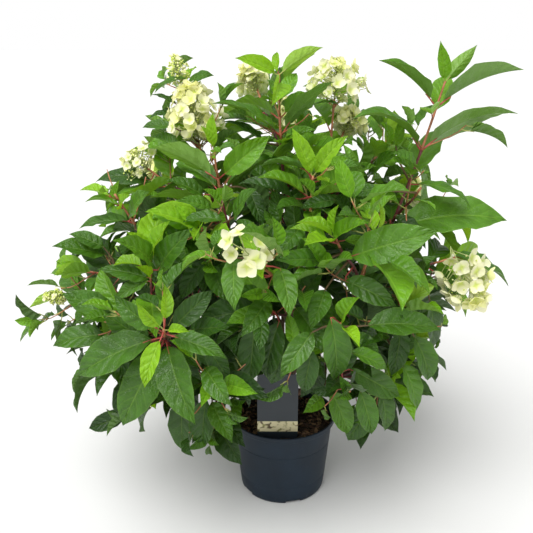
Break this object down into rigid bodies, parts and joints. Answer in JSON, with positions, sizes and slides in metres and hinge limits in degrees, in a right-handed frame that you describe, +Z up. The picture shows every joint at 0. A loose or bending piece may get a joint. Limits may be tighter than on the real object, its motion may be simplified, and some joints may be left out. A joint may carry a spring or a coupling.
{
  "type": "hydrangea shrub",
  "caption": "Flowering hydrangea shrub in a round plastic nursery pot: stool, boughs, leafy masses with cream flower heads, soil and a plain tag.",
  "frame": {"origin": "centre of the pot's flat underside", "axes": "+Z up along the pot's axis; -Y towards the side that the tag faces; +X to the right seen from that side"},
  "size_m": [0.9863, 0.8297, 0.9502],
  "materials": {
    "pot_plastic": "satin",
    "soil": "matte",
    "tag_card": "satin",
    "bark": "satin",
    "leaves": "satin",
    "petals": "matte"
  },
  "bodies": {
    "root": {"pot": "pot_plastic", "soil": "soil", "tag": "tag_card", "trunk": "bark", "bough_right": "bark", "bough_right_back": "bark", "bough_right_front": "bark", "bough_right_low": "bark", "bough_front": "bark", "bough_middle": "bark", "bough_left_middle": "bark", "bough_left_back": "bark", "bough_left": "bark", "bough_left_front": "bark", "bough_left_low": "bark", "bough_back": "bark", "bough_back_left": "bark", "bough_back_right": "bark", "foliage_right": "leaves", "foliage_right_back": "leaves", "foliage_right_front": "leaves", "foliage_right_low": "leaves", "foliage_front": "leaves", "foliage_middle": "leaves", "foliage_left_middle": "leaves", "foliage_left_back": "leaves", "foliage_left": "leaves", "foliage_left_front": "leaves", "foliage_left_low": "leaves", "foliage_back": "leaves", "foliage_back_left": "leaves", "foliage_back_right": "leaves"}
  },
  "joints": []
}
